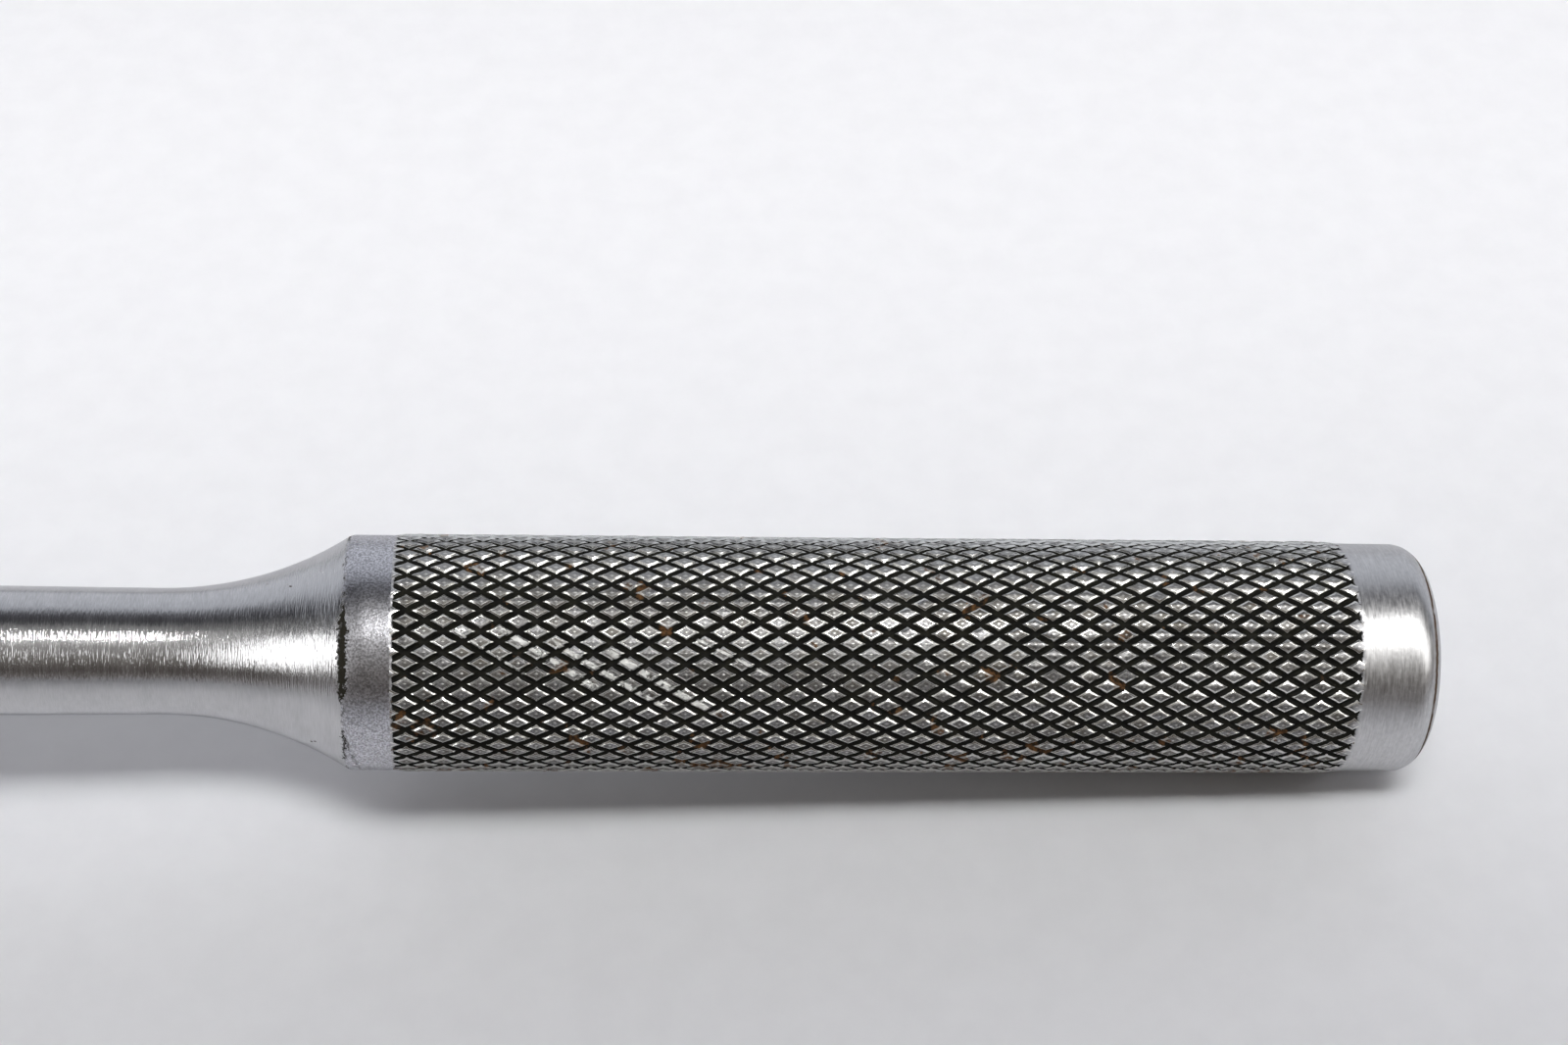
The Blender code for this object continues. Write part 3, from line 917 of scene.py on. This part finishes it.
screw_root = screw_radius - thread_depth
screw_profile = [
    (screw_low, screw_radius * 0.35),
    (screw_low + screw_cone, screw_root),
]
first_thread = screw_low + screw_cone + 0.1 * mm
threads = int((screw_high - 0.4 * mm - first_thread) / thread_pitch)
for turn in range(threads):
    crest = first_thread + (turn + 0.5) * thread_pitch
    screw_profile += [
        (crest - 0.08 * mm, screw_radius),
        (crest + 0.08 * mm, screw_radius),
        (crest + 0.25 * mm, screw_root),
    ]
screw_profile += [
    (screw_high - 0.25 * mm, screw_radius),
    (screw_high, screw_radius - 0.25 * mm),
]
screw_place = bar_place @ Matrix.Translation((0.0, screw_y, 0.0))
screw_mesh = turned_mesh(screw_profile, 48, "Z")
screw = object_from("slotted_lock_screw", screw_mesh, screw_place, [oxide_steel()])
slot_low = (-2.0 * screw_radius, -slot_width / 2.0, screw_high - slot_depth)
slot_high = (2.0 * screw_radius, slot_width / 2.0, screw_high + slot_depth)
combine(screw, [("DIFFERENCE", box_mesh(slot_low, slot_high))])
shade(screw, 30.0)
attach(screw, "handle")
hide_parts("pivot_lock_screw")

# ---------------------------------------------------------------------------------------
# The two balls: hardened bearing steel, lapped bright. One in the fork rubs on the
# tongue's rim and holds the head where it is put, and one in the square holds a socket.
friction_ball_radius = 3.175 * mm
drive_ball_radius = 2.38 * mm
wear_depth = 0.006  # of the ball's radius
worn_cap = 0.35  # the angle from the crown at which the wear ends


def ball_piece(name, radius, centre, turned_by, body, node, steel):
    """A bearing ball on its body, very slightly worn on the side that rubs."""
    steps = 40
    profile = []
    for i in range(1, steps):
        angle = math.pi * i / steps
        wear = wear_depth * radius * max(0.0, 1.0 - angle / worn_cap)
        profile.append(((wear - radius) * math.cos(angle), radius * math.sin(angle)))
    place = Matrix.Translation(centre) @ Matrix.Rotation(turned_by, 4, "Y")
    made = object_from(name, turned_mesh(profile, 64, "X"), place, [steel])
    shade(made, 60.0)
    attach(made, body)
    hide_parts(node)


def middle_of(node):
    low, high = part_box(node)
    return (Vector(low) + Vector(high)) / 2.0


ball_steel = ground_steel("lapped_ball_steel", (0.50, 0.50, 0.51), (0.62, 0.62, 0.63), 0.10, "X")
ball_piece(
    "fork_bearing_ball",
    friction_ball_radius,
    middle_of("friction_ball"),
    bar_lean,
    "friction_ball_body",
    "friction_ball",
    ball_steel,
)
ball_piece(
    "socket_bearing_ball",
    drive_ball_radius,
    middle_of("drive_ball"),
    0.0,
    "drive_ball_body",
    "drive_ball",
    ball_steel,
)

# ---------------------------------------------------------------------------------------
# The two springs behind the balls: cold-drawn music wire, coiled and closed at both ends.
# Each lies out of sight in its bore. The coiled solids are kept as they are, and only given
# their wire.
def drawn_wire():
    """Oiled spring wire: dark, with fine die lines and brighter rubbed places."""
    made, shader, here = finish("drawn_spring_wire")
    lines = speckle(here, 6000.0, 2.0)
    rubbed = speckle(here, 700.0, 2.0).step(0.5, 0.7)
    colour = lines.step(0.3, 0.7).mix((0.16, 0.15, 0.14), (0.27, 0.26, 0.25))
    colour = rubbed.mix(colour, (0.48, 0.47, 0.46))
    feed(
        shader,
        Base_Color=colour,
        Roughness=0.36 - rubbed * 0.12,
        Normal=bump(lines, 0.01 * mm, 0.5),
    )
    return made


wire_steel = drawn_wire()
for name in ("friction_spring", "drive_ball_spring"):
    for slot in bpy.data.objects[name].material_slots:
        slot.material = wire_steel

# ---------------------------------------------------------------------------------------
# The setting: a plain pale sheet of paper to stand on. Small lamps overhead and a panel at
# each side show in the metal, and a long lamp in front and a broad one behind light the paper.
floor_drop = 0.15 * mm  # keeps the crests of the knurling out of the paper
floor_size = 6.0
floor_mesh = bmesh.new()
bmesh.ops.create_grid(floor_mesh, x_segments=1, y_segments=1, size=floor_size)
floor_paint, floor_shader, floor_here = finish("pale_floor_paper")
fibre = speckle(floor_here, 220.0, 3.0)
feed(
    floor_shader,
    Base_Color=fibre.step(0.2, 0.8).mix((0.80, 0.80, 0.82), (0.83, 0.83, 0.85)),
    Metallic=0.0,
    Roughness=0.55,
    Normal=bump(fibre, 0.03 * mm, 0.15),
)
floor_place = Matrix.Translation((0.0, 0.0, -floor_drop))
floor = object_from("floor", floor_mesh, floor_place, [floor_paint])

target = pivot + bar_direction * (knurl_start + knurl_end) / 2.0


def panel(name, place, size, power, colour, lights_paper):
    """A soft panel that faces the grip, and is seen either in the metal or on the paper."""
    light = bpy.data.lights.new(name, "AREA")
    light.shape = "RECTANGLE"
    light.size, light.size_y = size
    light.energy, light.color = power, colour
    made = bpy.data.objects.new(name, light)
    made.location = target + Vector(place)
    made.rotation_euler = (-Vector(place)).to_track_quat("-Z", "Y").to_euler()
    made.visible_camera = False
    made.visible_diffuse = lights_paper
    made.visible_glossy = not lights_paper
    bpy.context.scene.collection.objects.link(made)
    return made


warm_white = (1.0, 0.99, 0.97)
panel("overhead_lamp", (0.17, -0.165, 0.71), (0.22, 0.06), 2.2, warm_white, False)
panel("left_lamp", (-0.30, -0.20, 0.70), (0.36, 0.05), 0.085, warm_white, False)
panel("right_panel", (0.52, -0.30, 0.52), (0.36, 0.60), 1.5, (1.0, 0.99, 0.96), False)
panel("left_panel", (-0.74, -0.40, 0.48), (0.60, 0.42), 2.5, (1.0, 1.0, 1.0), False)
panel("back_fill", (0.0, 0.45, 0.80), (2.2, 1.2), 2.2, (0.96, 0.97, 1.0), True)
floor_lamp_place = Vector((0.0, -0.17, 0.62))
floor_lamp = panel("floor_lamp", floor_lamp_place, (1.0, 0.15), 0.70, (1.0, 1.0, 1.0), True)
floor_aim = Vector((0.0, 0.118, -0.03)) - floor_lamp_place
floor_lamp.rotation_euler = floor_aim.to_track_quat("-Z", "Y").to_euler()
floor_lamp.data.spread = math.radians(40.0)

# The room, as the metal mirrors it: tones from the floor in front, over the top, to the back.
world = bpy.data.worlds.new("room")
bpy.context.scene.world = world
world.use_nodes = True
room = Wire(world.node_tree).node("TexCoord", output=0)
back = room.node("SeparateXYZ", values={0: room}, output=1)
up = room.node("SeparateXYZ", values={0: room}, output=2)
turn_over = up.maths("ARCTAN2", 0.0 - back) / math.pi
room_tones = (
    (0.0, (0.22, 0.20, 0.19)),
    (0.08, (0.07, 0.06, 0.055)),
    (0.17, (0.16, 0.145, 0.13)),
    (0.33, (0.36, 0.35, 0.34)),
    (0.52, (0.20, 0.20, 0.20)),
    (0.57, (0.04, 0.04, 0.045)),
    (0.66, (0.07, 0.07, 0.08)),
    (0.74, (0.58, 0.60, 0.65)),
    (1.0, (0.78, 0.80, 0.85)),
)
tones = turn_over.node("ValToRGB", {"stops": room_tones}, {"Fac": turn_over})
background = world.node_tree.nodes["Background"]
world.node_tree.links.new(tones.socket, background.inputs["Color"])
background.inputs["Strength"].default_value = 1.0

# The camera looks down on the grip from the front, a little along the bar.
camera_elevation = math.radians(47.3)
camera_heading = math.radians(3.10)
camera_lens, camera_sensor = 63.13, 36.0
end_centre = pivot + bar_direction * bar_length
offset_right, offset_down, offset_forward = 60.85 * mm, 13.08 * mm, 266.8 * mm
right = Vector((math.cos(camera_heading), -math.sin(camera_heading), 0.0))
forward = Vector(
    (
        math.sin(camera_heading) * math.cos(camera_elevation),
        math.cos(camera_heading) * math.cos(camera_elevation),
        -math.sin(camera_elevation),
    )
)
down = forward.cross(right)
camera = bpy.data.objects.new("camera", bpy.data.cameras.new("camera"))
camera.data.lens = camera_lens
camera.data.sensor_width = camera_sensor
camera.data.clip_start = 0.01
camera.location = end_centre - right * offset_right - down * offset_down - forward * offset_forward
camera.rotation_euler = Matrix((right, -down, -forward)).transposed().to_euler()
bpy.context.scene.collection.objects.link(camera)
bpy.context.scene.camera = camera
bpy.context.scene.view_settings.view_transform = "Standard"
